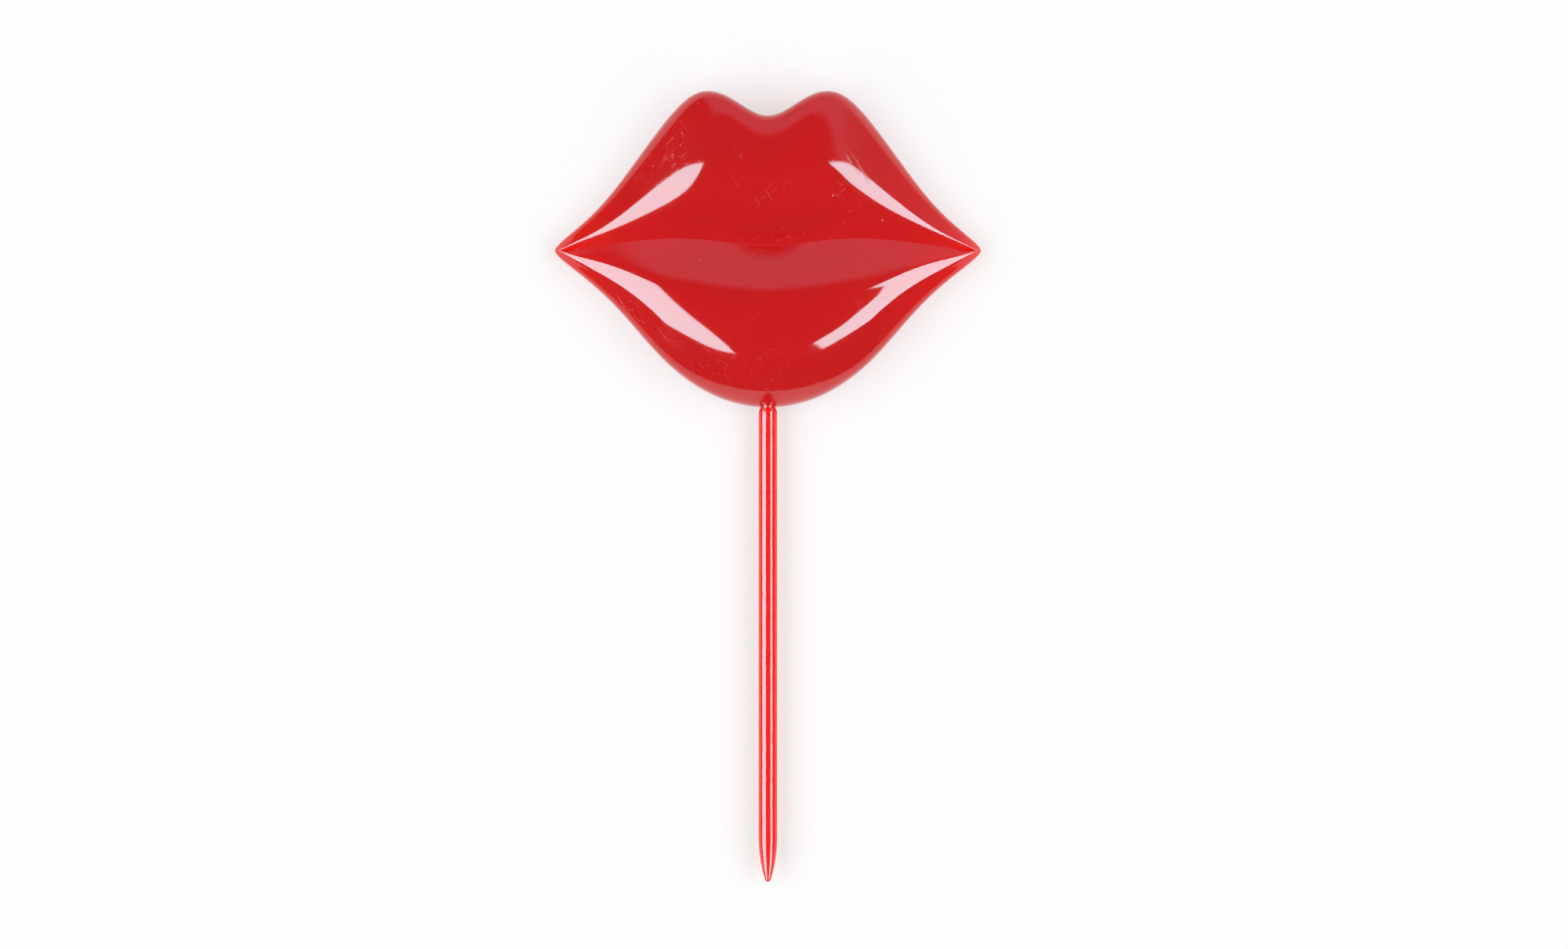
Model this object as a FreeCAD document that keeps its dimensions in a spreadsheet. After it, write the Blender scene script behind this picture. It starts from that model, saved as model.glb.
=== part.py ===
import FreeCAD, Part
import Sketcher
import math
import os

# A lip-shaped party pick lying on its back: hollow red lips on a thin pointed stick.
# The lips face +Z, the bow of the upper lip points to +Y and the stick runs to -Y.
# The origin is on the resting plane, under the middle of the whole length.

# Driving sizes in millimetres
SIZES = {
    # Outline of the lips, from the line that joins their two corners
    "lip_width": 41.1,
    "upper_rise": 15.4,
    "lower_drop": 15.1,
    "bow_dip": 2.4,
    "nose_width": 1.0,
    # Line where the lips meet, above the corner line
    "mouth_middle": 0.4,
    "mouth_hump": 1.15,
    "mouth_inset": 1.0,
    # Heights above the resting plane
    "upper_crest": 6.3,
    "lower_crest": 6.8,
    "corner_crest": 2.1,
    "crease_height": 3.2,
    "corner_crease": 2.0,
    "upper_shoulder": 3.3,
    "lower_shoulder": 2.3,
    "corner_shoulder": 1.4,
    "bow_lift": 0.8,
    # Moulding
    "wall": 1.2,
    "corner_wall": 2.6,
    # Stick
    "stick_length": 45.7,
    "stick_diameter": 1.8,
    "axis_height": 1.6,
    "point_length": 4.3,
    "point_radius": 0.3,
    # Neck between the lips and the shaft
    "neck_length": 0.4,
    # Plug and socket
    "spigot_diameter": 1.4,
    "spigot_length": 6.6,
    "spigot_chamfer": 0.2,
    "fit_clearance": 0.03,
    "socket_wall": 0.8,
    "socket_floor": 0.8,
}

# Lengthwise guides: control shares from the middle of the mouth to one corner
STATION_SHARES = (0, 1 / 6, 2 / 6, 3 / 6, 4 / 6, 5 / 6, 17 / 18, 1)
RIM_STATION_SHARES = (0, 1 / 6, 2 / 6, 3 / 6, 4 / 6, 5 / 6, 1, 1)
RIM_SHARES = {
    "upper": (1, 1, 1, 0.79, 0.47, 0.19, 0, 0),
    "lower": (1.01, 0.98, 0.88, 0.70, 0.42, 0.19, 0, 0),
}
BOW_SHARES = (-1.41, -0.19, 0.26, 0, 0, 0, 0, 0)
NOSE_SHARES = (0, 0, 0, 0, 0, 0, 0.5, 0)
MOUTH_MIDDLE_SHARES = (1, 0.7, 0.1, 0, 0, 0, 0, 0)
MOUTH_HUMP_SHARES = (0, 0.3, 0.9, 1, 0.74, 0.35, 0.09, 0)
CREST_SHARES = {
    "upper": (1, 1.02, 0.98, 0.76, 0.46, 0.20, 0.05, 0),
    "lower": (1, 0.99, 0.95, 0.82, 0.54, 0.24, 0.06, 0),
}
SHOULDER_SHARES = {
    "upper": (1, 0.90, 0.60, 0.34, 0.25, 0.20, 0.08, 0),
    "lower": (1, 1.05, 1.3, 1.5, 1.25, 0.70, 0.20, 0),
}
CREASE_SHARES = (1, 1, 1, 0.97, 0.90, 0.60, 0.20, 0)
BOW_LIFT_SHARES = (1, 0.85, 0.35, 0, 0, 0, 0, 0)
# How far a station belongs to the middle or to the corner; the rest of it is flank
MIDDLE_SHARES = (1, 0.90, 0.40, 0.05, 0, 0, 0, 0)
CORNER_SHARES = (0, 0, 0, 0, 0.10, 0.45, 0.85, 1)

# Shape across a lip, in rows of poles: share of the way from rim to mouth, and share of the height.
# The wall's height counts up to the shoulder. Three crown rows count from shoulder to crest, and
# the roll row that follows them counts from crease to crest.
WALL_SHARES = (0.5, 0.95)
CROWN_SHARES = {
    "upper": {
        "middle": ((0.06, 0.30), (0.30, 0.66), (0.64, 1.13), (0.87, 0.56)),
        "flank": ((0.10, 0.34), (0.40, 0.70), (0.71, 1.05), (0.88, 0.40)),
    },
    "lower": {
        "middle": ((0.085, 0.42), (0.25, 0.87), (0.50, 1.08), (0.81, 0.74)),
        "flank": ((0.06, 0.19), (0.24, 0.50), (0.45, 1.06), (0.75, 0.66)),
    },
}
CORNER_CROWN_SHARES = ((0.10, 0.20), (0.28, 0.70), (0.45, 1.20), (0.80, 0.50))
# How far each row follows the dip of the bow
BOW_FOLLOW_SHARES = (1, 1, 1, 1, 0.6, 0, 0, 0)
DEGREE = 3

# Middle of the whole length, measured along Y from the corner line of the lips
CORNER_LINE = "(sizes.lower_drop + sizes.stick_length - sizes.upper_rise) / 2"
RIM_LINE = CORNER_LINE + " - sizes.lower_drop"

doc = FreeCAD.newDocument("lip_pick")
sheet = doc.addObject("Spreadsheet::Sheet", "sizes")
for row, (name, number) in enumerate(SIZES.items(), start=1):
    sheet.set(f"A{row}", name)
    sheet.set(f"B{row}", str(number))
    sheet.setAlias(f"B{row}", name)
doc.recompute()


def size(name):
    """One driving size, read from the sheet."""
    return float(sheet.get(name))


def added(*terms):
    """Adds guides together, each a size times its control shares."""
    return [sum(amount * shares[i] for amount, shares in terms) for i in range(len(STATION_SHARES))]


def falling(middle, corner, shares):
    """Heights that fall from the middle of the mouth to the corner."""
    return [corner + (middle - corner) * share for share in shares]


def mirrored(half, side):
    """A guide over the whole width, from one corner to the other."""
    return [side * v for v in reversed(half[1:])] + list(half)


def guides(lip, inset, corner_inset):
    """The lengthwise guides of one lip, drawn in from the outer skin by a wall."""
    upper = lip == "upper"
    half_width = size("lip_width") / 2 - corner_inset
    mouth_half = half_width - size("mouth_inset")
    reach = size("upper_rise" if upper else "lower_drop") - inset
    side = 1 if upper else -1
    shoulder = falling(
        size(lip + "_shoulder") - inset, size("corner_shoulder") - inset, SHOULDER_SHARES[lip]
    )
    crest = falling(size(lip + "_crest") - inset, size("corner_crest") - inset, CREST_SHARES[lip])
    crease = falling(size("crease_height") - inset, size("corner_crease") - inset, CREASE_SHARES)
    bow = [0] * len(BOW_SHARES)
    if upper:
        bow = [size("bow_dip") * share for share in BOW_SHARES]
        shoulder = [v + size("bow_lift") * share for v, share in zip(shoulder, BOW_LIFT_SHARES)]
    rim_y = added((side * reach, RIM_SHARES[lip]), (side * size("nose_width"), NOSE_SHARES))
    mouth_y = added(
        (size("mouth_middle"), MOUTH_MIDDLE_SHARES), (size("mouth_hump"), MOUTH_HUMP_SHARES)
    )
    return {
        "rim_x": mirrored([half_width * share for share in RIM_STATION_SHARES], -1),
        "rim_y": mirrored(rim_y, 1),
        "bow": mirrored(bow, 1),
        "mouth_x": mirrored([mouth_half * share for share in STATION_SHARES], -1),
        "mouth_y": mirrored(mouth_y, 1),
        "shoulder": mirrored(shoulder, 1),
        "crest": mirrored(crest, 1),
        "crease": mirrored(crease, 1),
    }


def crown_rows(lip):
    """Way and height shares of the crown and roll rows, mixed at each station from three zones."""
    zones = list(zip(mirrored(MIDDLE_SHARES, 1), mirrored(CORNER_SHARES, 1)))
    shapes = zip(CROWN_SHARES[lip]["middle"], CROWN_SHARES[lip]["flank"], CORNER_CROWN_SHARES)
    return [
        [[f + (m - f) * near + (c - f) * far for m, f, c in zip(*shape)] for near, far in zones]
        for shape in shapes
    ]


def lip_net(lip, inset, corner_inset, foot):
    """Control net of one lip: a row of poles at each station, from the foot of the wall to the mouth."""
    lines = guides(lip, inset, corner_inset)
    rows = crown_rows(lip)
    net = []
    for i, shoulder in enumerate(lines["shoulder"]):
        crest = lines["crest"][i]
        crease = lines["crease"][i]
        profile = [(0, foot)] + [(0, share * shoulder) for share in WALL_SHARES]
        profile += [(row[i][0], shoulder + row[i][1] * (crest - shoulder)) for row in rows[:-1]]
        roll_way, roll_up = rows[-1][i]
        profile += [(roll_way, crease + roll_up * (crest - crease)), (1, crease)]
        mouth = FreeCAD.Vector(lines["mouth_x"][i], lines["mouth_y"][i], 0)
        poles = []
        for (way, height), follow in zip(profile, BOW_FOLLOW_SHARES):
            rim = FreeCAD.Vector(lines["rim_x"][i], lines["rim_y"][i] + follow * lines["bow"][i], 0)
            poles.append(rim + (mouth - rim) * way + FreeCAD.Vector(0, 0, height))
        net.append(poles)
    return net


def knots(count):
    """Knots and multiplicities of an even, clamped spline with so many poles."""
    spans = count - DEGREE
    inner = [1] * (spans - 1)
    return [k / spans for k in range(spans + 1)], [DEGREE + 1] + inner + [DEGREE + 1]


def spline_surface(net):
    """The spline surface that a control net draws."""
    u_knots, u_mults = knots(len(net))
    v_knots, v_mults = knots(len(net[0]))
    surface = Part.BSplineSurface()
    surface.buildFromPolesMultsKnots(
        net, u_mults, v_mults, u_knots, v_knots, False, False, DEGREE, DEGREE
    )
    return surface


def lip_solid(inset, corner_inset, foot):
    """Closed solid under both lips, drawn in by a wall and standing on a flat foot."""
    upper = spline_surface(lip_net("upper", inset, corner_inset, foot))
    lower = spline_surface(lip_net("lower", inset, corner_inset, foot))
    foot_edges = [upper.vIso(0).toShape(), lower.vIso(0).toShape()]
    base = Part.Face(Part.Wire(Part.__sortEdges__(foot_edges)))
    shell = Part.Shell([upper.toShape(), lower.toShape(), base])
    solid = Part.Solid(shell)
    if solid.Volume < 0:
        solid.reverse()
    return solid


def lip_feature(name, solid):
    """A lip solid in the document, moved along Y to the corner line."""
    feature = doc.addObject("Part::Feature", name)
    feature.Shape = solid
    feature.setExpression("Placement.Base.y", CORNER_LINE)
    return feature


def stick_cylinder(name, radius, start, length):
    """A cylinder on the stick's axis, from one place along Y towards +Y."""
    cylinder = doc.addObject("Part::Cylinder", name)
    cylinder.Placement = FreeCAD.Placement(
        FreeCAD.Vector(0, 0, 0), FreeCAD.Rotation(FreeCAD.Vector(1, 0, 0), -90)
    )
    cylinder.setExpression("Radius", radius)
    cylinder.setExpression("Height", length)
    cylinder.setExpression("Placement.Base.y", start)
    cylinder.setExpression("Placement.Base.z", "sizes.axis_height")
    return cylinder


def boolean(kind, name, base, tool):
    """One boolean of two objects."""
    result = doc.addObject(kind, name)
    result.Base = base
    result.Tool = tool
    return result


def make_lip_shell():
    """The hollow lips: a skin of even wall, with the socket for the stick moulded inside."""
    wall = size("wall")
    outer = lip_feature("lip_outer", lip_solid(0, 0, 0))
    hollow = lip_feature("lip_hollow", lip_solid(wall, size("corner_wall"), -wall))
    skin = boolean("Part::Cut", "lip_skin", outer, hollow)

    bore_radius = "sizes.spigot_diameter / 2 + sizes.fit_clearance"
    boss = stick_cylinder(
        "socket_boss",
        bore_radius + " + sizes.socket_wall",
        RIM_LINE,
        "sizes.spigot_length + sizes.socket_floor",
    )
    inside_boss = boolean("Part::Common", "socket_inside", boss, outer)
    with_boss = boolean("Part::Fuse", "lip_with_socket", skin, inside_boss)

    # Blind bore through the wall of the lower lip; the plug's end rests on its floor
    bore = stick_cylinder(
        "socket_bore", bore_radius, RIM_LINE + " - sizes.wall", "sizes.spigot_length + sizes.wall"
    )
    shell = boolean("Part::Cut", "lip_shell", with_boss, bore)
    shell.Label = "lip_shell"
    return shell


def stick_outline():
    """Half outline of the stick in its own frame: its axis is Y and the rim of the lips is at Y = 0."""
    shaft = size("stick_diameter") / 2
    spigot = size("spigot_diameter") / 2
    chamfer = size("spigot_chamfer")
    top = size("spigot_length")
    shaft_top = -size("neck_length")
    tip = -size("stick_length")
    point_start = tip + size("point_length")
    cap = size("point_radius")

    def at(x, y):
        return FreeCAD.Vector(x, y, 0)

    def arc(centre, radius, start, end):
        return Part.ArcOfCircle(Part.Circle(centre, FreeCAD.Vector(0, 0, 1), radius), start, end)

    # Long arc of the point, tangent to the shaft and to the round cap at the tip
    reach = size("point_length") - cap
    point_radius = (shaft ** 2 + reach ** 2 - cap ** 2) / (2 * (shaft - cap))
    turn = math.atan2(reach, point_radius - shaft)
    point = arc(at(shaft - point_radius, point_start), point_radius, -turn, 0)
    round_cap = arc(at(0, tip + cap), cap, -math.pi / 2, -turn)
    return [
        Part.LineSegment(at(0, top), at(spigot - chamfer, top)),
        Part.LineSegment(at(spigot - chamfer, top), at(spigot, top - chamfer)),
        Part.LineSegment(at(spigot, top - chamfer), at(spigot, 0)),
        Part.LineSegment(at(spigot, 0), at(shaft, shaft_top)),
        Part.LineSegment(at(shaft, shaft_top), at(shaft, point_start)),
        point,
        round_cap,
        Part.LineSegment(at(0, tip), at(0, top)),
    ]


def constrain_stick(sketch):
    """Joins the outline's eight pieces and ties its dimensions to the sheet."""
    end_face, chamfer, spigot, neck, shaft, point, cap, axis = range(8)
    start, end, centre = 1, 2, 3
    origin, across, along = (-1, 1), -1, -2
    for first, second in ((end_face, chamfer), (chamfer, spigot), (spigot, neck), (neck, shaft)):
        sketch.addConstraint(Sketcher.Constraint("Coincident", first, end, second, start))
    sketch.addConstraint(Sketcher.Constraint("Tangent", shaft, end, point, end))
    sketch.addConstraint(Sketcher.Constraint("Tangent", point, start, cap, end))
    sketch.addConstraint(Sketcher.Constraint("Coincident", cap, start, axis, start))
    sketch.addConstraint(Sketcher.Constraint("Coincident", axis, end, end_face, start))
    sketch.addConstraint(Sketcher.Constraint("Horizontal", end_face))
    for upright in (spigot, shaft):
        sketch.addConstraint(Sketcher.Constraint("Vertical", upright))
    for piece, point_of in ((axis, start), (axis, end), (cap, centre)):
        sketch.addConstraint(Sketcher.Constraint("PointOnObject", piece, point_of, along))
    sketch.addConstraint(Sketcher.Constraint("PointOnObject", neck, start, across))

    dimensions = (
        ("spigot_radius", "DistanceX", (*origin, neck, start), "sizes.spigot_diameter / 2"),
        ("shaft_radius", "DistanceX", (*origin, neck, end), "sizes.stick_diameter / 2"),
        ("neck_reach", "DistanceY", (neck, end, *origin), "sizes.neck_length"),
        ("spigot_reach", "DistanceY", (*origin, end_face, start), "sizes.spigot_length"),
        ("chamfer_across", "DistanceX", (chamfer, start, chamfer, end), "sizes.spigot_chamfer"),
        ("chamfer_along", "DistanceY", (chamfer, end, chamfer, start), "sizes.spigot_chamfer"),
        ("stick_reach", "DistanceY", (cap, start, *origin), "sizes.stick_length"),
        ("point_reach", "DistanceY", (cap, start, shaft, end), "sizes.point_length"),
        ("cap_radius", "Radius", (cap,), "sizes.point_radius"),
    )
    for name, kind, places, expression in dimensions:
        measured = sketch.evalExpression(expression)
        index = sketch.addConstraint(Sketcher.Constraint(kind, *places, float(measured)))
        sketch.renameConstraint(index, name)
        sketch.setExpression("Constraints." + name, expression)


def make_pick_stick():
    """The stick, turned about its axis: plug, tapered neck at the lips, shaft and point."""
    body = doc.addObject("PartDesign::Body", "pick_stick")
    body.Label = "pick_stick"
    plane = next(f for f in body.Origin.OriginFeatures if f.Role == "XY_Plane")
    sketch = body.newObject("Sketcher::SketchObject", "stick_profile")
    sketch.AttachmentSupport = (plane, [""])
    sketch.MapMode = "FlatFace"
    sketch.addGeometry(stick_outline(), False)
    constrain_stick(sketch)
    doc.recompute()
    turned = body.newObject("PartDesign::Revolution", "stick_turned")
    turned.Profile = sketch
    turned.ReferenceAxis = (sketch, ["V_Axis"])
    turned.Angle = 360
    body.setExpression("Placement.Base.y", RIM_LINE)
    body.setExpression("Placement.Base.z", "sizes.axis_height")
    return body


pieces = [make_lip_shell(), make_pick_stick()]
doc.recompute()

for thing in doc.Objects:
    if "Invalid" in thing.State or "Error" in thing.State:
        raise RuntimeError(f"{thing.Name} failed: {thing.State}")
for piece in pieces:
    if piece.Shape.isNull() or not piece.Shape.isValid() or len(piece.Shape.Solids) != 1:
        raise RuntimeError(f"{piece.Label} is not one valid solid")

os.makedirs("parts", exist_ok=True)
for piece in pieces:
    piece.Shape.exportStep(f"parts/{piece.Label}.step")
    print(piece.Label, "volume", round(piece.Shape.Volume, 1), "mm3")
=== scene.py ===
"""Red lip-shaped party pick on a white table, seen from straight above. Lengths are in metres."""

import math

import bmesh
import bpy
import numpy as np
from bpy.props import FloatProperty, FloatVectorProperty, IntProperty, PointerProperty
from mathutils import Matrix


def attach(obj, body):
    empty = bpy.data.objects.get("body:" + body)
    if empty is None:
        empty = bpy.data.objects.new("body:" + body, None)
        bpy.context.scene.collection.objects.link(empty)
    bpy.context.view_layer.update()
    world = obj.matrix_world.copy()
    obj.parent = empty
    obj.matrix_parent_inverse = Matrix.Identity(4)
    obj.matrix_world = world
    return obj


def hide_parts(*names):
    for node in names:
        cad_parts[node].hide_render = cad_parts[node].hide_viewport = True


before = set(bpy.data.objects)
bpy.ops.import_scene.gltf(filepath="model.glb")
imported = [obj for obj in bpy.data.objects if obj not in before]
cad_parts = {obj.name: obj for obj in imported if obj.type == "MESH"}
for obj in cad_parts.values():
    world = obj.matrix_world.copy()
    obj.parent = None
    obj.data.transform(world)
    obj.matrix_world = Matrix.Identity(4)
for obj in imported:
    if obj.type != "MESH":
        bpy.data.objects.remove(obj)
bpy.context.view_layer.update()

bl_info = {
    "name": "Lip pick",
    "version": (1, 0, 0),
    "blender": (4, 5, 0),
    "location": "View3D > Sidebar > Lip pick",
    "description": "Builds a hollow lip-shaped party pick on a pointed stick",
    "category": "Add Mesh",
}

MM = 0.001
BODY = "root"

# Control shares of the lengthwise guides, from the middle of the mouth to one corner
STATIONS = np.array([0, 1 / 6, 2 / 6, 3 / 6, 4 / 6, 5 / 6, 17 / 18, 1])
RIM_STATIONS = np.array([0, 1 / 6, 2 / 6, 3 / 6, 4 / 6, 5 / 6, 1, 1])
RIM = {
    "upper": np.array([1, 1, 1, 0.79, 0.47, 0.19, 0, 0]),
    "lower": np.array([1.01, 0.98, 0.88, 0.70, 0.42, 0.19, 0, 0]),
}
BOW = {"upper": np.array([-1.41, -0.19, 0.26, 0, 0, 0, 0, 0]), "lower": np.zeros(len(STATIONS))}
NOSE = np.array([0, 0, 0, 0, 0, 0, 0.5, 0])
MOUTH_MIDDLE = np.array([1, 0.7, 0.1, 0, 0, 0, 0, 0])
MOUTH_HUMP = np.array([0, 0.3, 0.9, 1, 0.74, 0.35, 0.09, 0])
CREST = {
    "upper": np.array([1, 1.02, 0.98, 0.76, 0.46, 0.20, 0.05, 0]),
    "lower": np.array([1, 0.99, 0.95, 0.82, 0.54, 0.24, 0.06, 0]),
}
SHOULDER = {
    "upper": np.array([1, 0.90, 0.60, 0.34, 0.25, 0.20, 0.08, 0]),
    "lower": np.array([1, 1.05, 1.3, 1.5, 1.25, 0.70, 0.20, 0]),
}
BOW_LIFT = {"upper": np.array([1, 0.85, 0.35, 0, 0, 0, 0, 0]), "lower": np.zeros(len(STATIONS))}
CREASE = np.array([1, 1, 1, 0.97, 0.90, 0.60, 0.20, 0])
# How far a station belongs to the middle or to the corner; the rest of it is flank
MIDDLE_ZONE = np.array([1, 0.90, 0.40, 0.05, 0, 0, 0, 0])
CORNER_ZONE = np.array([0, 0, 0, 0, 0.10, 0.45, 0.85, 1])

# Rows of poles across a lip: share of the way from rim to mouth, and share of the height.
# Three crown rows count from shoulder to crest, and the roll row after them from crease to crest.
WALL_ROWS = (0, 0.5, 0.95)
CROWN_ROWS = {
    "upper": {
        "middle": ((0.06, 0.30), (0.30, 0.66), (0.64, 1.13), (0.87, 0.56)),
        "flank": ((0.10, 0.34), (0.40, 0.70), (0.71, 1.05), (0.88, 0.40)),
    },
    "lower": {
        "middle": ((0.085, 0.42), (0.25, 0.87), (0.50, 1.08), (0.81, 0.74)),
        "flank": ((0.06, 0.19), (0.24, 0.50), (0.45, 1.06), (0.75, 0.66)),
    },
}
CORNER_ROWS = ((0.10, 0.20), (0.28, 0.70), (0.45, 1.20), (0.80, 0.50))
# Height of the valley in the crease, as a share of its width
VALLEY_RISE = 0.225
# How far each row follows the dip of the bow
BOW_FOLLOW = np.array([1, 1, 1, 1, 0.6, 0, 0, 0])
# Degree of the splines, along the lips and across them
DEGREE = 3

# Mesh: steps round a turned piece and along each part of the stick's outline, the power by which
# steps across a lip crowd towards the foot, and the distance at which points merge
ROUND_STEPS = 96
STICK_STEPS = {"chamfer": 3, "spigot": 12, "neck": 6, "shaft": 130, "point": 40, "cap": 10}
FOOT_CROWDING = 1.5
MERGE_DISTANCE = 1e-8
# A carved piece with fewer faces was lost
LEAST_FACES = 100
# Angle between faces, in degrees, from which an edge is sharp
SHARP_ANGLE = 40
# Share of the wall at which the socket's boss starts
BOSS_START = 0.75

# Painted glow, standing for light that comes through thin plastic: its share at the rim, and the
# distances over which it falls off
RIM_LIGHT = 0.2
RIM_FADE = 1.0 * MM
CORNER_FADE = 4 * MM
POINT_FADE = 2.5 * MM

# Plastic: how far red, green and blue light goes in it, in millimetres, how much of the light
# scatters in each piece, and the refraction
SCATTER = (1.2, 0.12, 0.08)
LIP_CLEAR = 0
STICK_CLEAR = 0.6
REFRACTION = 1.57
# Lengths of the patterns on the plastic, in millimetres
CLOUD_SIZE = (6, 6, 6)
GRAIN_SIZE = (1, 1, 1)
PATCH_SIZE = (7, 7, 7)
WAVE_SIZE = (4, 4, 4)
LIP_STREAK = (4, 0.25, 0.25)
STICK_STREAK = (0.25, 5, 0.25)
# Drag lines and the patches that hold them: angles, bend, and noise levels between which they show
STREAK_TURNS = (0.7, -1.0)
STREAK_BEND = 0.8
STREAK_EDGE = (0.62, 0.72)
PATCH_TURN = 0.4
PATCH_EDGE = (0.46, 0.64)
# Specks: cells to the metre, share of empty cells, and a speck's least size and growth
SPECK_CELLS = 620.0
SPECK_EMPTY = 0.80
SPECK_SIZE = (0.03, 0.05)
# How much each of them shows in the colour, in the relief and in the roughness
# The first share in the colour is the painted glow, which stands for light coming through thin
# plastic
PAINTED_GLOW_PALE, CLOUD_PALE, SPECK_PALE, SCUFF_PALE = 0.85, 0.35, 0.35, 0.04
WAVE_RELIEF, GRAIN_RELIEF, SCUFF_RELIEF, SPECK_RELIEF = 0.5, 0.03, 0.10, 0.15
PLAIN_ROUGH, CLOUD_ROUGH, SCUFF_ROUGH, SPECK_ROUGH = 0.05, 0.04, 0.22, 0.30
RELIEF_STRENGTH = 0.25
RELIEF_DEPTH = 0.02 * MM

# Table: half its width, how far it lies under the pick, its own share of light, and its mottle
TABLE_HALF = 3.0
TABLE_DROP = 0.02 * MM
TABLE_GLOW = 0.5
MOTTLE_SIZE = (25, 25, 25)
MOTTLE = 0.03
MOTTLE_SHADE = 0.9

# Colours of the panels, of the dark room and of the white card
DAYLIGHT = (0.50, 0.92, 1.0)
ROOM = (0.1, 0.1, 0.1)
CARD = (0.30, 0.64, 0.76)
# Card and room: distance, compass angles from +X towards +Y, and angles from straight up
CARD_DOME = (1.0, (20, 135), (38, 90))
ROOM_DOME = (2.0, (0, 360), (0, 90))
DOME_CELLS = 40
# Angles above the table, and compass angles, between which the card fades
CARD_TOP = (42, 48)
CARD_SIDES = ((25, 50), (118, 107))
# Share of the world's light that falls on things
FILL = 0.45
# Lamps: width and length, power, place beside the pick, and tilt in degrees
KEY_SIZE = (0.6, 1.4)
KEY_POWER = 5.0
KEY_PLACE = (0.6, -0.1, 0.6)
KEY_TILT = 45
# Camera: width of its sensor, in millimetres
SENSOR_WIDTH = 36
# Panels: distance, brightness, angles from straight up, and outlines as rows of a place along Y
# and the shares of the width at which the panel starts and ends there
PANEL_DISTANCE = 0.8
PANEL_POWER = 12.5
LEFT_LEAN = (25, 71)
RIGHT_LEAN = (9.5, 50)
LEFT_ROWS = ((-0.62, -0.03, 1.04), (-0.30, 0, 1.04), (0.38, 0, 1))
RIGHT_ROWS = (
    (-0.66, 0.8, 1.5),
    (-0.42, 0.42, 1.5),
    (-0.32, 0.56, 1.4),
    (0.06, 0.58, 1.1),
    (0.25, 0.48, 1.2),
    (0.36, 0.30, 1.2),
    (0.42, 0.8, 1.2),
)


def length(name, description, default):
    """A size that a user may change."""
    return FloatProperty(
        name=name, description=description, default=default * MM, unit="LENGTH", precision=5
    )


def colour(name, description, default):
    """A colour that a user may change."""
    return FloatVectorProperty(
        name=name, description=description, default=default, subtype="COLOR", size=3, min=0, max=1
    )


class LipSizes(bpy.types.PropertyGroup):
    """Sizes of the hollow lips."""

    width: length("Width", "From one corner of the mouth to the other", 41.1)
    upper_rise: length("Upper rise", "From the corner line to the peaks of the upper lip", 15.4)
    lower_drop: length("Lower drop", "From the corner line to the bottom of the lower lip", 15.1)
    bow_dip: length("Bow dip", "Depth of the dip between the two peaks", 2.4)
    nose_width: length("Corner roundness", "Width of the rounded corners", 1.0)
    mouth_middle: length("Mouth middle", "Height of the mouth line in the middle", 0.4)
    mouth_hump: length("Mouth hump", "Height of the mouth line's two humps", 1.15)
    mouth_inset: length("Mouth inset", "From a corner to the end of the mouth line", 1.0)
    upper_crest: length("Upper crest", "Height towards which the upper lip rises", 6.3)
    lower_crest: length("Lower crest", "Height towards which the lower lip rises", 6.8)
    corner_crest: length("Corner crest", "Height towards which the corners rise", 2.1)
    crease: length("Crease", "Height of the crease between the lips", 3.2)
    corner_crease: length("Corner crease", "Height of the crease at the corners", 2.0)
    upper_shoulder: length("Upper shoulder", "Height of the upper lip's upright wall", 3.3)
    lower_shoulder: length("Lower shoulder", "Height of the lower lip's upright wall", 2.3)
    corner_shoulder: length("Corner shoulder", "Height of the wall at the corners", 1.4)
    bow_lift: length("Bow lift", "Extra wall height at the dip of the bow", 0.8)
    wall: length("Wall", "Thickness of the moulding", 1.2)
    corner_wall: length("Corner wall", "Solid length at each corner", 2.6)
    foot_radius: length("Foot radius", "Rounding of the edge that lies on the table", 0.18)
    valley_width: length("Valley width", "Width of the soft valley on each side of the crease", 2.0)
    valley_middle: length("Valley middle", "Width of that valley in the middle of the mouth", 0.75)
    valley_pinch: length("Valley pinch", "Distance from the middle where the valley widens", 6.5)
    valley_reach: length("Valley reach", "Distance from the middle where the valley fades", 10.0)
    corner_line: length("Corner line", "Place of the corner line along Y", 22.7)


class StickSizes(bpy.types.PropertyGroup):
    """Sizes of the stick and of the socket that holds it."""

    diameter: length("Diameter", "Thickness of the shaft", 1.8)
    axis_height: length("Axis height", "Height of the axis above the table", 1.6)
    rim_line: length("Rim line", "Place along Y where the stick enters the lips", 7.6)
    tip_line: length("Tip line", "Place of the pointed end along Y", -38.1)
    point_length: length("Point length", "Length of the tapered end", 4.3)
    point_radius: length("Point radius", "Rounding of the tip", 0.3)
    neck_length: length("Neck length", "Length of the taper from the lips to the shaft", 0.4)
    spigot_diameter: length("Spigot diameter", "Thickness of the plug inside the lips", 1.4)
    spigot_length: length("Spigot length", "Length of the plug inside the lips", 6.6)
    spigot_chamfer: length("Spigot chamfer", "Bevel at the end of the plug", 0.2)
    clearance: length("Clearance", "Gap all round the plug", 0.03)
    socket_wall: length("Socket wall", "Wall of the socket", 0.8)


class PickFinish(bpy.types.PropertyGroup):
    """Colours of the moulded plastic, with the painted glow where it is thin, and of the table."""

    lip_red: colour("Lip red", "Red of the lips where they are thick", (0.60, 0.008, 0.0095))
    # Painted glow: the red that stands for light coming through the thin rim and corners
    lip_glow_red: colour("Lip edge", "Red of the lips where light comes through", (0.90, 0.016, 0.009))
    stick_red: colour("Stick red", "Red of the stick", (0.90, 0.016, 0.011))
    # Painted glow: the red that stands for light coming through the stick's thin point
    stick_glow_red: colour("Stick point", "Red of the stick's thin end", (0.94, 0.024, 0.008))
    dust: colour("Dust", "Pale dust and scuffs on the plastic", (0.72, 0.30, 0.30))
    table: colour("Table", "White of the table", (0.96, 0.96, 0.96))


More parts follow.
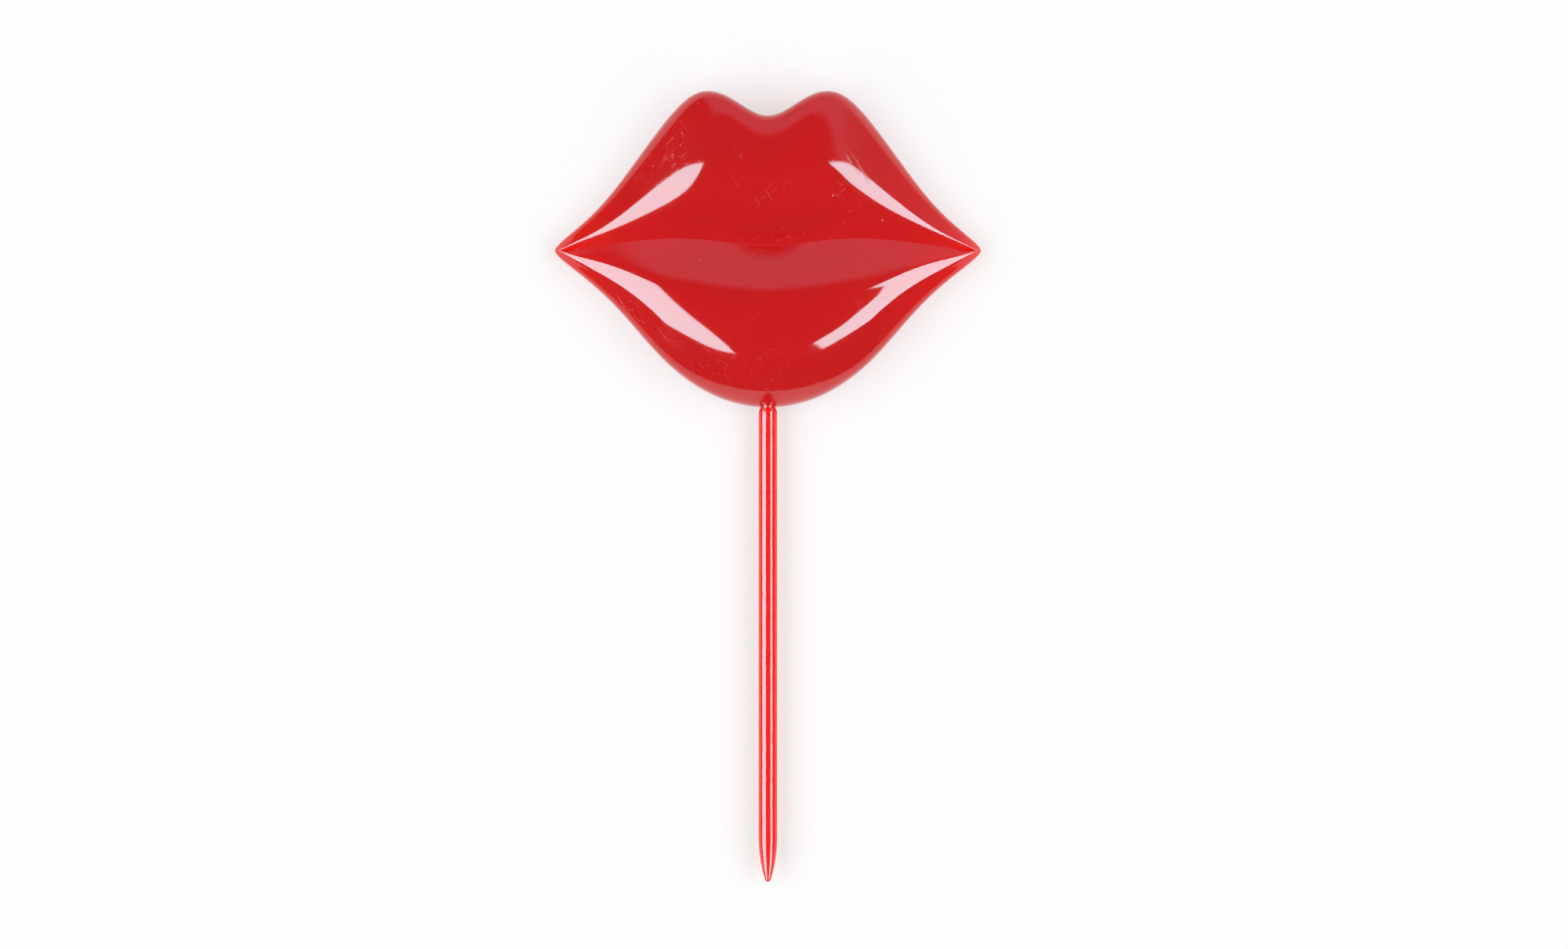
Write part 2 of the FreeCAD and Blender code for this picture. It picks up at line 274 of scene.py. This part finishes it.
class PickView(bpy.types.PropertyGroup):
    """Camera and mesh density."""

    camera_height: length("Camera height", "Height of the camera above the table", 650)
    frame_width: length("Frame width", "Width of the table that the picture shows", 151.35)
    middle_x: length("Picture middle X", "Point of the table in the middle of the picture", 1.55)
    middle_y: length("Picture middle Y", "Point of the table in the middle of the picture", 1.13)
    along: IntProperty(name="Steps along", description="Mesh steps along the lips", default=220)
    across: IntProperty(name="Steps across", description="Mesh steps across one lip", default=98)


def spline_weights(count, places):
    """Weights of an even, clamped spline: one row for each place, one column for each pole.

    A place has weight 1 in the knot span that holds it. The degree then rises one at a time, and
    each column becomes the mix of itself and its neighbour, by the place's share of their spans.
    """
    inner = np.linspace(0, 1, count - DEGREE + 1)
    knot = np.concatenate([np.zeros(DEGREE), inner, np.ones(DEGREE)])
    at = np.clip(places, 0, 1 - 1e-12)[:, None]
    weights = ((at >= knot[:-1]) & (at < knot[1:])).astype(float)
    for degree in range(1, DEGREE + 1):
        columns = weights.shape[1] - 1
        start, end = knot[:columns], knot[degree + 1 : degree + 1 + columns]
        rise = knot[degree : degree + columns] - start
        drop = end - knot[1 : 1 + columns]
        rising = np.where(rise > 0, (at - start) / np.where(rise > 0, rise, 1), 0)
        dropping = np.where(drop > 0, (end - at) / np.where(drop > 0, drop, 1), 0)
        weights = rising * weights[:, :-1] + dropping * weights[:, 1:]
    return weights


def mirrored(half, side=1):
    """A guide over the whole width, from one corner to the other."""
    return np.concatenate([side * half[:0:-1], half])


def falling(middle, corner, shares):
    """Heights that fall from the middle of the mouth to the corner, over the whole width."""
    return mirrored(corner + (middle - corner) * shares)


def lip_net(lips, lip, inset, corner_inset):
    """Control net of one lip, drawn in from the outer skin by a wall.

    Each pole is the rim point plus a share of the way to the mouth line, at a height that is a
    share of the wall, of the crown above the wall, or of the crown above the crease. The shares of
    the way and the height are mixed at each station from a middle, a flank and a corner shape.
    """
    side, reach = (1, lips.upper_rise) if lip == "upper" else (-1, lips.lower_drop)
    half = lips.width / 2 - corner_inset
    rim_x = mirrored(half * RIM_STATIONS, -1)
    rim_y = side * mirrored((reach - inset) * RIM[lip] + lips.nose_width * NOSE)
    mouth_x = mirrored((half - lips.mouth_inset) * STATIONS, -1)
    mouth_y = mirrored(lips.mouth_middle * MOUTH_MIDDLE + lips.mouth_hump * MOUTH_HUMP)
    bow = mirrored(lips.bow_dip * BOW[lip])

    tall = lips.upper_shoulder if lip == "upper" else lips.lower_shoulder
    peak = lips.upper_crest if lip == "upper" else lips.lower_crest
    shoulder = falling(tall, lips.corner_shoulder, SHOULDER[lip]) - inset
    shoulder += mirrored(lips.bow_lift * BOW_LIFT[lip])
    crest = falling(peak, lips.corner_crest, CREST[lip]) - inset
    crease = falling(lips.crease, lips.corner_crease, CREASE) - inset

    near, far = mirrored(MIDDLE_ZONE), mirrored(CORNER_ZONE)
    shapes = zip(CROWN_ROWS[lip]["middle"], CROWN_ROWS[lip]["flank"], CORNER_ROWS)
    mixes = [[f + (m - f) * near + (c - f) * far for m, f, c in zip(*shape)] for shape in shapes]
    rows = [(0 * near, share * shoulder) for share in WALL_ROWS]
    rows += [(way, shoulder + up * (crest - shoulder)) for way, up in mixes[:-1]]
    way, up = mixes[-1]
    rows += [(way, crease + up * (crest - crease)), (1 + 0 * near, crease)]
    ways, heights = (np.stack(column, axis=1) for column in zip(*rows))

    x = rim_x[:, None] + ways * (mouth_x - rim_x)[:, None]
    followed = rim_y[:, None] + bow[:, None] * BOW_FOLLOW
    y = followed + ways * (mouth_y[:, None] - followed)
    return np.stack([x, y, heights], axis=-1)


def round_foot(skin, side, radius):
    """Draws the foot of a wall in along a quarter circle, at right angles to the rim.

    Below the radius, a point moves inwards by the radius less the circle's half chord at its
    height.
    """
    step = np.gradient(skin[:, 0, :2], axis=0)
    inward = np.stack([side * step[:, 1], -side * step[:, 0]], axis=-1)
    inward /= np.linalg.norm(inward, axis=-1, keepdims=True)
    inward[0], inward[-1] = (1, 0), (-1, 0)
    below = np.clip(radius - skin[..., 2], 0, radius)
    shift = radius - np.sqrt(radius**2 - below**2)
    plan = skin[..., :2] + inward[:, None] * shift[..., None]
    return np.concatenate([plan, skin[..., 2:]], axis=-1)


def fill_crease(skin, lips):
    """Softens the crease: near the mouth line a lip rises, so that both meet in a shallow valley.

    The rise is a share of the valley's width, times the square of one less the distance from the
    mouth line over that width. The valley is narrowest in the middle of the mouth, and it fades
    out towards the corners; both follow a bell curve of the place along the mouth.
    """
    mouth = skin[:, -1:, :]
    away = np.linalg.norm(skin[..., :2] - mouth[..., :2], axis=-1)
    pinch = np.exp(-((mouth[..., 0] / lips.valley_pinch) ** 2))
    fade = np.exp(-((mouth[..., 0] / lips.valley_reach) ** 2))
    width = lips.valley_width + (lips.valley_middle - lips.valley_width) * pinch
    rise = VALLEY_RISE * width * fade * np.clip(1 - away / width, 0, 1) ** 2
    return np.concatenate([skin[..., :2], (skin[..., 2] + rise)[..., None]], axis=-1)


def lip_skin(lips, view, inset, corner_inset, foot_radius):
    """Both lips as one grid, from the upper lip's foot over the mouth line to the lower lip's foot.

    A point is the weighted sum of the control net's poles. Steps along crowd towards the corners as
    the cosine does, and steps across crowd towards the foot as a power does. Only the outer skin
    has a foot radius, and with it the soft crease.
    """
    turn = np.linspace(0, np.pi, view.along)
    along = spline_weights(2 * len(STATIONS) - 1, 0.5 - 0.5 * np.cos(turn))
    across = spline_weights(len(BOW_FOLLOW), np.linspace(0, 1, view.across) ** FOOT_CROWDING)
    skins = []
    for lip, side in (("upper", 1), ("lower", -1)):
        net = lip_net(lips, lip, inset, corner_inset)
        skin = np.einsum("ai,bj,ijk->abk", along, across, net)
        if foot_radius:
            skin = round_foot(fill_crease(skin, lips), side, foot_radius)
        skins.append(skin)
    upper, lower = skins
    return np.concatenate([upper, lower[:, -2::-1]], axis=1)


def painted_glow_share(points, rim, half):
    """Share of painted glow, standing for light that comes through: a little on the rim and most at
    the corners.

    Each of the two falls off as the exponential of the distance over its fading length.
    """
    from_rim = np.linalg.norm(points[..., :2] - rim[..., :2], axis=-1)
    from_corner = half - np.abs(points[..., 0])
    light = RIM_LIGHT * np.exp(-from_rim / RIM_FADE) + np.exp(-from_corner / CORNER_FADE)
    return np.clip(light, 0, 1)


def ring_faces(rows, columns):
    """Quads of a grid whose columns close into a ring."""
    index = np.arange(rows * columns).reshape(rows, columns)
    beside = np.roll(index, -1, axis=1)
    return np.stack([index[:-1], beside[:-1], beside[1:], index[1:]], axis=-1).reshape(-1, 4)


def mesh_object(name, points, faces, painted_glow):
    """A closed mesh object from arrays, with its seams and poles merged."""
    mesh = bpy.data.meshes.new(name)
    mesh.from_pydata(points.reshape(-1, 3).tolist(), [], faces.tolist())
    # The share of painted glow is kept as a point attribute for the material
    layer = mesh.attributes.new("painted_glow", "FLOAT", "POINT")
    values = np.broadcast_to(painted_glow, points.shape[:-1]).ravel().astype(np.float32)
    layer.data.foreach_set("value", values)
    work = bmesh.new()
    work.from_mesh(mesh)
    bmesh.ops.remove_doubles(work, verts=work.verts, dist=MERGE_DISTANCE)
    work.to_mesh(mesh)
    work.free()
    mesh.polygons.foreach_set("use_smooth", np.ones(len(mesh.polygons), bool))
    piece = bpy.data.objects.new(name, mesh)
    bpy.context.scene.collection.objects.link(piece)
    return piece


def turned(name, profile, axis_height, painted_glow):
    """A turned piece: a profile of radii and places along Y, carried round the stick's axis."""
    radius, along = (column[:, None] for column in np.asarray(profile, float).T)
    angle = np.linspace(0, 2 * np.pi, ROUND_STEPS, endpoint=False)
    x = -radius * np.sin(angle)
    z = axis_height + radius * np.cos(angle)
    points = np.stack([x, along + 0 * angle, z], axis=-1)
    return mesh_object(name, points, ring_faces(*points.shape[:2]), painted_glow[:, None])


def carve(piece, operation, tool):
    """Joins a closed tool to a piece, or cuts it out, and removes the tool."""
    step = piece.modifiers.new(tool.name, "BOOLEAN")
    step.operation = operation
    step.object = tool
    step.solver = "EXACT"
    bpy.context.view_layer.update()
    graph = bpy.context.evaluated_depsgraph_get()
    done = bpy.data.meshes.new_from_object(piece.evaluated_get(graph))
    if len(done.polygons) < LEAST_FACES:
        raise RuntimeError(f"{piece.name} was lost at {tool.name}")
    piece.modifiers.clear()
    plain = piece.data
    piece.data = done
    bpy.data.meshes.remove(plain)
    bpy.data.objects.remove(tool)


def dress(piece, material, node):
    """Gives a piece its material and its place in the frame."""
    piece.data.materials.clear()
    piece.data.materials.append(material)
    piece.data.set_sharp_from_angle(angle=math.radians(SHARP_ANGLE))
    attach(piece, BODY)
    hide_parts(node)


class Value:
    """A number that varies over a surface: a socket on which arithmetic adds Math nodes."""

    def __init__(self, nodes, socket):
        self.nodes = nodes
        self.socket = socket

    def maths(self, operation, first, second):
        return self.nodes.node("Math", {"operation": operation}, {0: first, 1: second})

    def beside(self, output):
        """Another output of the same node."""
        return Value(self.nodes, self.socket.node.outputs[output])

    def __add__(self, other):
        return self.maths("ADD", self, other)

    def __radd__(self, other):
        return self.maths("ADD", other, self)

    def __sub__(self, other):
        return self.maths("SUBTRACT", self, other)

    def __mul__(self, other):
        return self.maths("MULTIPLY", self, other)

    def __rmul__(self, other):
        return self.maths("MULTIPLY", other, self)

    def __gt__(self, other):
        return self.maths("GREATER_THAN", self, other)

    def __lt__(self, other):
        return self.maths("LESS_THAN", self, other)


class Nodes:
    """A node tree with one way to add any node."""

    def __init__(self, tree):
        self.tree = tree
        tree.nodes.clear()

    def node(self, kind, settings=None, sockets=None, output=0):
        """Adds a node: its type, then its settings, then the values or links of its sockets."""
        made = self.tree.nodes.new("ShaderNode" + kind)
        for name, setting in (settings or {}).items():
            setattr(made, name, setting)
        for name, value in (sockets or {}).items():
            if isinstance(value, Value):
                self.tree.links.new(value.socket, made.inputs[name])
            else:
                made.inputs[name].default_value = value
        return Value(self, made.outputs[output]) if made.outputs else None

    def mixed(self, share, first, second):
        """A colour between two others."""
        sockets = {0: share, 6: first, 7: second}
        return self.node("Mix", {"data_type": "RGBA"}, sockets, 2)

    def between(self, value, low, high, out_low, out_high):
        """A number carried from one range to another and kept inside it."""
        sockets = {0: value, 1: low, 2: high, 3: out_low, 4: out_high}
        return self.node("MapRange", {"clamp": True}, sockets)

    def noise(self, place, size, turn=0, detail=2, bend=0):
        """Soft noise: the pattern's lengths along its own axes, which are turned about Z."""
        sockets = {"Vector": place, "Scale": [part * MM for part in size], "Rotation": (0, 0, turn)}
        at = self.node("Mapping", {"vector_type": "TEXTURE"}, sockets)
        sockets = {"Vector": at, "Scale": 1.0, "Detail": detail, "Distortion": bend}
        return self.node("TexNoise", None, sockets)


def opaque(rgb):
    """A colour as a socket takes it."""
    return (*rgb, 1)


def moulded_plastic(name, thick, painted_glow, dust, streak, clear):
    """Polished red polystyrene, with a painted glow that makes it paler where it is thin.

    Cloudy colour, fine drag lines along the streak's direction, a few scuffs and specks of dust,
    and the slight waviness of a polished mould. The clear share lets light scatter through.
    """
    material = bpy.data.materials.new(name)
    material.use_nodes = True
    nodes = Nodes(material.node_tree)
    place = nodes.node("TexCoord", None, None, "Object")
    # The attribute carries painted glow: light coming through thin plastic, painted into the base
    # colour
    light = nodes.node("Attribute", {"attribute_name": "painted_glow"}, None, "Fac")
    cloud = nodes.noise(place, CLOUD_SIZE, detail=3)
    pale = light * PAINTED_GLOW_PALE + (cloud - 0.5) * CLOUD_PALE
    red = nodes.mixed(pale, opaque(thick), opaque(painted_glow))

    grain = nodes.noise(place, GRAIN_SIZE)
    first, second = (
        nodes.between(nodes.noise(place, streak, turn, 2, STREAK_BEND), *STREAK_EDGE, 0, 1)
        for turn in STREAK_TURNS
    )
    patch = nodes.between(nodes.noise(place, PATCH_SIZE, PATCH_TURN, 1), *PATCH_EDGE, 0, 1)
    scuff = (first + second) * patch
    cells = nodes.node("TexVoronoi", None, {"Vector": place, "Scale": SPECK_CELLS}, "Distance")
    chance = nodes.node("SeparateColor", None, {0: cells.beside("Color")}, 0)
    least, growth = SPECK_SIZE
    speck = (cells < least + growth * grain) * (chance > SPECK_EMPTY)
    body = nodes.mixed(speck * SPECK_PALE + scuff * SCUFF_PALE, red, opaque(dust))

    wave = nodes.noise(place, WAVE_SIZE, detail=1)
    relief = wave * WAVE_RELIEF + grain * GRAIN_RELIEF - scuff * SCUFF_RELIEF + speck * SPECK_RELIEF
    sockets = {"Strength": RELIEF_STRENGTH, "Distance": RELIEF_DEPTH, "Height": relief}
    bump = nodes.node("Bump", None, sockets)
    rough = PLAIN_ROUGH + CLOUD_ROUGH * cloud + SCUFF_ROUGH * scuff + SPECK_ROUGH * speck
    sockets = {"Base Color": body, "Roughness": rough, "Normal": bump, "IOR": REFRACTION}
    sockets |= {"Subsurface Weight": clear, "Subsurface Radius": SCATTER, "Subsurface Scale": MM}
    shader = nodes.node("BsdfPrincipled", None, sockets)
    nodes.node("OutputMaterial", None, {"Surface": shader})
    return material


class LIPPICK_OT_lips(bpy.types.Operator):
    """Build the hollow lips with the socket for the stick moulded inside"""

    bl_idname = "lippick.lips"
    bl_label = "Lips"

    def execute(self, context):
        lips, stick = context.scene.lip_sizes, context.scene.stick_sizes
        view, finish = context.scene.pick_view, context.scene.pick_finish
        outer = lip_skin(lips, view, 0, 0, lips.foot_radius)
        inner = lip_skin(lips, view, lips.wall, lips.corner_wall, 0)
        ring = np.concatenate([outer, inner[:, ::-1]], axis=1)
        ring[..., 1] += lips.corner_line
        count = outer.shape[1]
        upper_rim, lower_rim = ring[:, :1], ring[:, count - 1 : count]
        half = lips.width / 2
        # Painted glow where the walls are thin: along the rim and at the corners
        painted_glow = np.maximum(painted_glow_share(ring, upper_rim, half), painted_glow_share(ring, lower_rim, half))
        piece = mesh_object("lips", ring, ring_faces(*ring.shape[:2]), painted_glow)

        bore = stick.spigot_diameter / 2 + stick.clearance
        boss = bore + stick.socket_wall
        inside, outside = stick.rim_line + BOSS_START * lips.wall, stick.rim_line - lips.wall
        floor = stick.rim_line + stick.spigot_length
        top = floor + stick.socket_wall
        solids = (
            ("UNION", "socket", ((0, top), (boss, top), (boss, inside), (0, inside))),
            ("DIFFERENCE", "bore", ((0, floor), (bore, floor), (bore, outside), (0, outside))),
        )
        for operation, name, profile in solids:
            tool = turned(name, profile, stick.axis_height, np.zeros(len(profile)))
            carve(piece, operation, tool)
        reds = finish.lip_red, finish.lip_glow_red
        material = moulded_plastic("lip_plastic", *reds, finish.dust, LIP_STREAK, LIP_CLEAR)
        dress(piece, material, "lip_shell")
        return {"FINISHED"}


def arc(centre, radius, start, end, steps):
    """Points of an arc in the profile's plane: centre plus radius times cosine and sine."""
    turn = np.linspace(start, end, steps)
    return np.stack([centre[0] + radius * np.cos(turn), centre[1] + radius * np.sin(turn)], axis=-1)


def run(start, end, steps):
    """Points of a straight run in the profile's plane."""
    return np.linspace(start, end, steps)


def stick_profile(stick):
    """Half outline of the stick from the plug's end to the tip.

    The point is a long arc tangent to the shaft and to the small round cap at the tip.
    """
    shaft, spigot, chamfer = stick.diameter / 2, stick.spigot_diameter / 2, stick.spigot_chamfer
    rim, tip, cap = stick.rim_line, stick.tip_line, stick.point_radius
    top = rim + stick.spigot_length
    shaft_top = rim - stick.neck_length
    point_start = tip + stick.point_length
    reach = stick.point_length - cap
    bend = (shaft**2 + reach**2 - cap**2) / (2 * (shaft - cap))
    turn = math.atan2(reach, bend - shaft)
    steps = STICK_STEPS
    return np.concatenate(
        [
            [(0, top)],
            run((spigot - chamfer, top), (spigot, top - chamfer), steps["chamfer"]),
            run((spigot, top - chamfer), (spigot, rim), steps["spigot"])[1:],
            run((spigot, rim), (shaft, shaft_top), steps["neck"])[1:],
            run((shaft, shaft_top), (shaft, point_start), steps["shaft"])[1:],
            arc((shaft - bend, point_start), bend, 0, -turn, steps["point"])[1:],
            arc((0, tip + cap), cap, -turn, -math.pi / 2, steps["cap"])[1:],
        ]
    )


class LIPPICK_OT_stick(bpy.types.Operator):
    """Build the pointed stick with its plug"""

    bl_idname = "lippick.stick"
    bl_label = "Stick"

    def execute(self, context):
        stick, finish = context.scene.stick_sizes, context.scene.pick_finish
        profile = stick_profile(stick)
        # Painted glow where the stick thins towards its point
        painted_glow = np.exp(-(profile[:, 1] - stick.tip_line) / POINT_FADE)
        piece = turned("stick", profile, stick.axis_height, painted_glow)
        reds = finish.stick_red, finish.stick_glow_red
        material = moulded_plastic("stick_plastic", *reds, finish.dust, STICK_STREAK, STICK_CLEAR)
        dress(piece, material, "pick_stick")
        return {"FINISHED"}


def glow(name, strength, paint):
    """A material that shines in a plain colour, or in one worked out from the place."""
    material = bpy.data.materials.new(name)
    material.use_nodes = True
    nodes = Nodes(material.node_tree)
    shade = paint(nodes) if callable(paint) else opaque(paint)
    shader = nodes.node("Emission", None, {"Color": shade, "Strength": strength})
    nodes.node("OutputMaterial", None, {"Surface": shader})
    return material


def fading_card(nodes):
    """Pale near the table, fading to the dark of the room at its top and at both sides."""
    x = nodes.node("SeparateXYZ", None, {0: nodes.node("TexCoord", None, None, "Object")}, 0)
    y, height = x.beside(1), x.beside(2)
    compass = x.maths("ARCTAN2", y, x)
    low, high = (math.sin(math.radians(angle)) for angle in CARD_TOP)
    pale = nodes.between(height, low, high, 1, 0)
    for faint, full in CARD_SIDES:
        pale = pale * nodes.between(compass, math.radians(faint), math.radians(full), 0, 1)
    return nodes.mixed(pale, opaque(ROOM), opaque(CARD))


def dome_patch(name, distance, turn, zenith, paint):
    """A patch of a dome round the object, seen only in its gloss.

    A point is the distance times the direction with a compass angle, counted from +X towards +Y,
    and an angle from straight up.
    """
    compass = np.radians(np.linspace(*turn, DOME_CELLS))[:, None]
    lean = np.radians(np.linspace(*zenith, DOME_CELLS))
    x, y = np.cos(compass) * np.sin(lean), np.sin(compass) * np.sin(lean)
    points = distance * np.stack([x, y, np.cos(lean) + 0 * compass], axis=-1)
    return stage_mesh(name, points, glow(name, 1.0, paint))


def strip_panel(name, side, zenith, rows):
    """A flat light panel beside the object, between two angles from straight up.

    A row gives a place along Y, and the shares of the panel's width at which it starts and ends
    there. A point is that share of the way between the directions of the two angles, times the
    distance.
    """
    lean = np.radians(np.array(zenith))
    y, start, end = np.array(rows).T
    share = np.stack([start, end], axis=-1)
    x = side * PANEL_DISTANCE * (np.sin(lean[0]) + share * (np.sin(lean[1]) - np.sin(lean[0])))
    z = PANEL_DISTANCE * (np.cos(lean[0]) + share * (np.cos(lean[1]) - np.cos(lean[0])))
    points = np.stack([x, y[:, None] + 0 * share, z], axis=-1)
    return stage_mesh(name, points, glow(name, PANEL_POWER, DAYLIGHT))


def stage_mesh(name, points, material):
    """A stage surface from a grid of points."""
    rows, columns = points.shape[:2]
    index = np.arange(rows * columns).reshape(rows, columns)
    faces = np.stack([index[:-1, :-1], index[:-1, 1:], index[1:, 1:], index[1:, :-1]], axis=-1)
    mesh = bpy.data.meshes.new(name)
    mesh.from_pydata(points.reshape(-1, 3).tolist(), [], faces.reshape(-1, 4).tolist())
    mesh.materials.append(material)
    surface = bpy.data.objects.new(name, mesh)
    bpy.context.scene.collection.objects.link(surface)
    return surface


def seen_rays(nodes):
    """1 for what is seen straight, in gloss or in glass, and 0 for light that falls on things."""
    ray = nodes.node("LightPath", None, None, "Is Camera Ray")
    return ray + ray.beside("Is Glossy Ray") + ray.beside("Is Transmission Ray")


def gloss_only(*surfaces):
    """Keeps stage surfaces out of everything but reflections."""
    for surface in surfaces:
        surface.visible_camera = False
        surface.visible_diffuse = False
        surface.visible_shadow = False


class LIPPICK_OT_stage(bpy.types.Operator):
    """Set up the white table, the studio light and the camera"""

    bl_idname = "lippick.stage"
    bl_label = "Stage"

    def execute(self, context):
        scene, view = context.scene, context.scene.pick_view
        self.make_table(scene.pick_finish.table)
        self.make_light(scene)
        camera = bpy.data.cameras.new("camera")
        camera.sensor_width = SENSOR_WIDTH
        camera.lens = SENSOR_WIDTH * view.camera_height / view.frame_width
        eye = bpy.data.objects.new("camera", camera)
        eye.location = (view.middle_x, view.middle_y, view.camera_height)
        scene.collection.objects.link(eye)
        scene.camera = eye
        scene.view_settings.view_transform = "Standard"
        return {"FINISHED"}

    def make_table(self, white):
        """A wide white table top just under the pick, bright enough to keep its shadows soft."""
        side = np.array([-TABLE_HALF, TABLE_HALF])
        corners = np.broadcast_arrays(side[:, None], side[None, :], -TABLE_DROP)
        points = np.stack(corners, axis=-1)[::-1]
        material = bpy.data.materials.new("table_white")
        material.use_nodes = True
        nodes = Nodes(material.node_tree)
        place = nodes.node("TexCoord", None, None, "Object")
        mottle = nodes.noise(place, MOTTLE_SIZE, detail=3)
        shade = [MOTTLE_SHADE * part for part in white]
        paper = nodes.mixed(mottle * MOTTLE, opaque(white), opaque(shade))
        matt = nodes.node("BsdfDiffuse", None, {"Color": paper})
        bright = nodes.node("Emission", None, {"Color": opaque((1, 1, 1)), "Strength": 1.0})
        sockets = {0: seen_rays(nodes) * TABLE_GLOW, 1: matt, 2: bright}
        shader = nodes.node("MixShader", None, sockets)
        nodes.node("OutputMaterial", None, {"Surface": shader})
        stage_mesh("table", points, material)

    def make_light(self, scene):
        """Strip lights left and right, a white card behind the bow, and a dark room above."""
        gloss_only(
            strip_panel("left_panel", -1, LEFT_LEAN, LEFT_ROWS),
            strip_panel("right_panel", 1, RIGHT_LEAN, RIGHT_ROWS),
            dome_patch("white_card", *CARD_DOME, fading_card),
            dome_patch("dark_room", *ROOM_DOME, ROOM),
        )
        x, y, z = KEY_PLACE
        for side in (-1, 1):
            lamp = bpy.data.lights.new("soft_key", "AREA")
            lamp.shape = "RECTANGLE"
            lamp.size, lamp.size_y = KEY_SIZE
            lamp.energy = KEY_POWER
            key = bpy.data.objects.new("soft_key", lamp)
            key.location = (side * x, y, z)
            key.rotation_euler = (0, side * math.radians(KEY_TILT), 0)
            key.visible_glossy = False
            scene.collection.objects.link(key)
        world = bpy.data.worlds.new("studio")
        world.use_nodes = True
        scene.world = world
        nodes = Nodes(world.node_tree)
        level = nodes.between(seen_rays(nodes), 0, 1, FILL, 1)
        shader = nodes.node("Background", None, {"Strength": level})
        nodes.node("OutputWorld", None, {"Surface": shader})


class LIPPICK_PT_sidebar(bpy.types.Panel):
    """Lists the pick's pieces and sizes"""

    bl_idname = "LIPPICK_PT_sidebar"
    bl_label = "Lip pick"
    bl_space_type = "VIEW_3D"
    bl_region_type = "UI"
    bl_category = "Lip pick"

    def draw(self, context):
        for operator in OPERATORS:
            self.layout.operator(operator.bl_idname)
        for name, group in GROUPS.items():
            box = self.layout.box()
            for setting in group.__annotations__:
                box.prop(getattr(context.scene, name), setting)


GROUPS = {
    "lip_sizes": LipSizes,
    "stick_sizes": StickSizes,
    "pick_finish": PickFinish,
    "pick_view": PickView,
}
OPERATORS = (LIPPICK_OT_lips, LIPPICK_OT_stick, LIPPICK_OT_stage)
CLASSES = (*GROUPS.values(), *OPERATORS, LIPPICK_PT_sidebar)


def register():
    for made in CLASSES:
        bpy.utils.register_class(made)
    for name, group in GROUPS.items():
        setattr(bpy.types.Scene, name, PointerProperty(type=group))


def unregister():
    for name in GROUPS:
        delattr(bpy.types.Scene, name)
    for made in reversed(CLASSES):
        bpy.utils.unregister_class(made)


def main():
    """Builds the pieces and the stage."""
    register()
    bpy.ops.lippick.lips()
    bpy.ops.lippick.stick()
    bpy.ops.lippick.stage()


if __name__ == "__main__":
    main()
